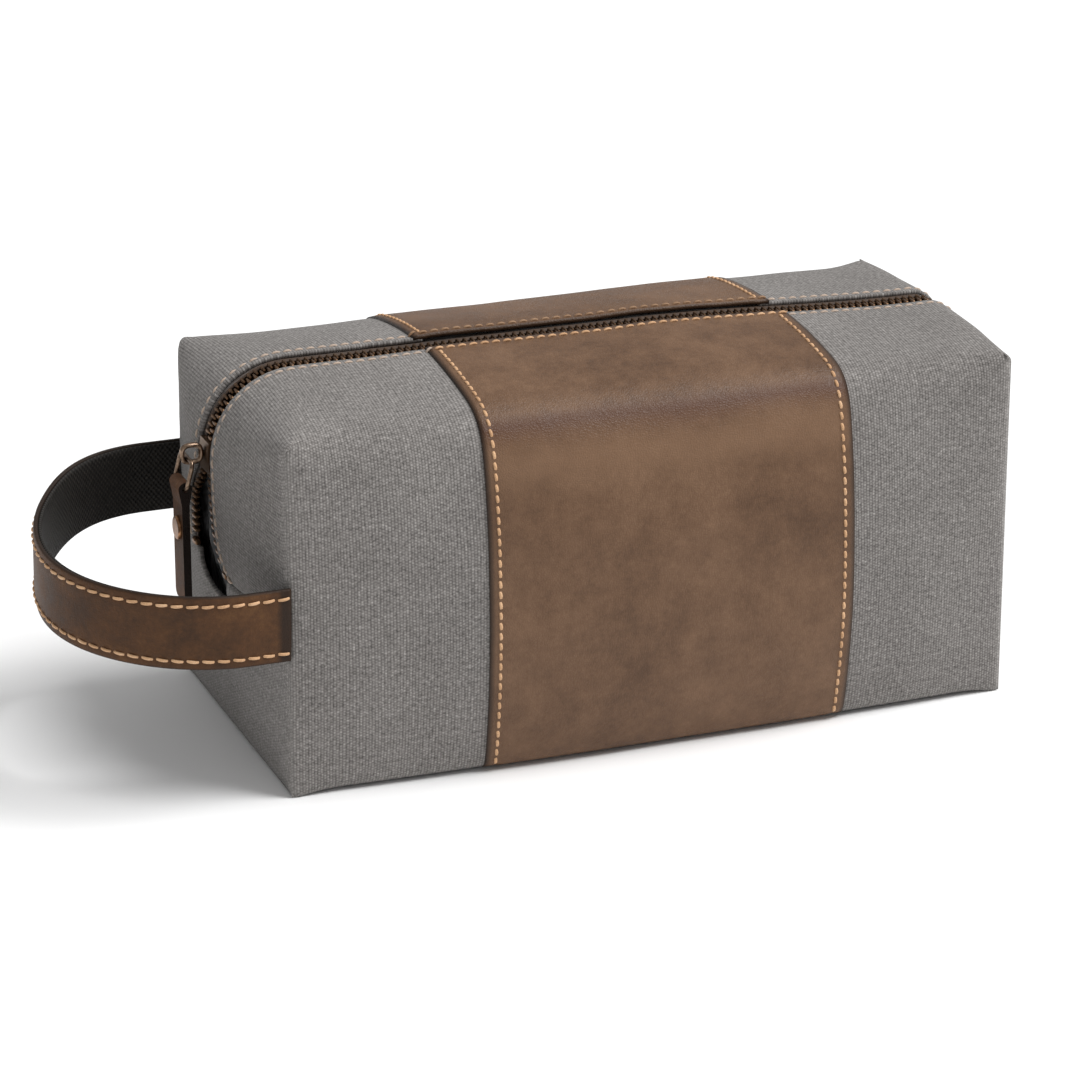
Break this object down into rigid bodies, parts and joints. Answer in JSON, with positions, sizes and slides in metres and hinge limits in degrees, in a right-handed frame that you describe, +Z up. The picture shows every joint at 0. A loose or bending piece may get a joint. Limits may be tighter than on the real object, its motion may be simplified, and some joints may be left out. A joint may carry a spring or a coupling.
{
  "type": "shaving kit bag",
  "caption": "Boxed shaving kit bag with canvas ends, a leather middle band, a zip over the top and down both ends, a leather zip pull and a wrist strap across one end",
  "frame": {"origin": "middle of the flat base, at the level that the bag stands on", "axes": "+Z up, +X along the bag's length to the plain end, -X the end with the zip slider and the wrist strap, -Y the front"},
  "size_m": [0.3255, 0.136, 0.13],
  "materials": {
    "canvas": "washed grey cotton canvas with a plain ribbed weave",
    "leather": "brown pull-up leather, waxed, paler where it folds",
    "strap_leather": "dark brown waxed leather with burnished edges",
    "webbing": "black cotton webbing",
    "lining": "black nylon taffeta with a slight shine",
    "padding": "open foam padding, hidden between skin and lining",
    "board": "stiff plastic base board, hidden under the lining",
    "zip_tape": "dark brown woven polyester tape",
    "zip_metal": "antique brass, darkened between the teeth",
    "slider_metal": "antique brass, dark bronze with bright worn edges",
    "rivet_metal": "antique brass rivet"
  },
  "bodies": {
    "bag": {"back_canvas_left": "canvas", "back_canvas_right": "canvas", "back_leather_panel": "leather", "back_padding": "padding", "base_board": "board", "base_canvas_left": "canvas", "base_canvas_right": "canvas", "base_leather_panel": "leather", "base_padding": "padding", "body_lining": "lining", "front_canvas_left": "canvas", "front_canvas_right": "canvas", "front_leather_panel": "leather", "front_padding": "padding", "left_corner_padding": "padding", "left_end_lower": "canvas", "left_end_padding": "padding", "left_end_upper_back": "canvas", "left_end_upper_front": "canvas", "right_corner_padding": "padding", "right_end_lower": "canvas", "right_end_padding": "padding", "right_end_upper_back": "canvas", "right_end_upper_front": "canvas", "strap_tails": "strap_leather", "zip_stops": "zip_metal", "zip_tape_back_left": "zip_tape", "zip_tape_back_right": "zip_tape", "zip_tape_front_left": "zip_tape", "zip_tape_front_right": "zip_tape", "zip_teeth_back_left": "zip_metal", "zip_teeth_back_right": "zip_metal", "zip_teeth_front_left": "zip_metal", "zip_teeth_front_right": "zip_metal"},
    "front_flap": {"front_top_canvas_left": "canvas", "front_top_canvas_right": "canvas", "front_top_leather": "leather", "front_top_lining": "lining", "front_top_padding": "padding", "zip_tape_front_top": "zip_tape", "zip_teeth_front_top": "zip_metal"},
    "back_flap": {"back_top_canvas_left": "canvas", "back_top_canvas_right": "canvas", "back_top_leather": "leather", "back_top_lining": "lining", "back_top_padding": "padding", "zip_tape_back_top": "zip_tape", "zip_teeth_back_top": "zip_metal"},
    "slider": {"slider_body": "slider_metal", "slider_bail": "slider_metal"},
    "ring": {"pull_ring": "slider_metal"},
    "pull": {"pull_tab": "strap_leather", "pull_rivet": "rivet_metal"},
    "strap": {"strap_leather": "strap_leather", "strap_webbing": "webbing"}
  },
  "joints": [
    {"name": "front_flap_hinge", "type": "hinge", "parent": "bag", "child": "front_flap", "pos_m": [0, -0.0607, 0.115], "axis": [1, 0, 0], "range_deg": [0, 75]},
    {"name": "back_flap_hinge", "type": "hinge", "parent": "bag", "child": "back_flap", "pos_m": [0, 0.0607, 0.115], "axis": [-1, 0, 0], "range_deg": [0, 75]},
    {"name": "slider_run", "type": "hinge", "parent": "bag", "child": "slider", "pos_m": [-0.107, 0, 0.1], "axis": [0, 1, 0], "range_deg": [0, 75], "deforming": ["zip_teeth_front_left", "zip_teeth_back_left"]},
    {"name": "ring_swing", "type": "hinge", "parent": "slider", "child": "ring", "pos_m": [-0.14375, 0, 0.1005], "axis": [0, 1, 0], "range_deg": [-14, 170]},
    {"name": "tab_swing", "type": "hinge", "parent": "ring", "child": "pull", "pos_m": [-0.14615, 0, 0.09121], "axis": [0, -1, 0], "range_deg": [-100, 8]},
    {"name": "strap_swing", "type": "hinge", "parent": "bag", "child": "strap", "pos_m": [-0.1475, 0, 0.0655], "axis": [0, 0.9979, 0.0645], "range_deg": [-45, 60], "stiffness_Nm_per_rad": 0.08}
  ]
}
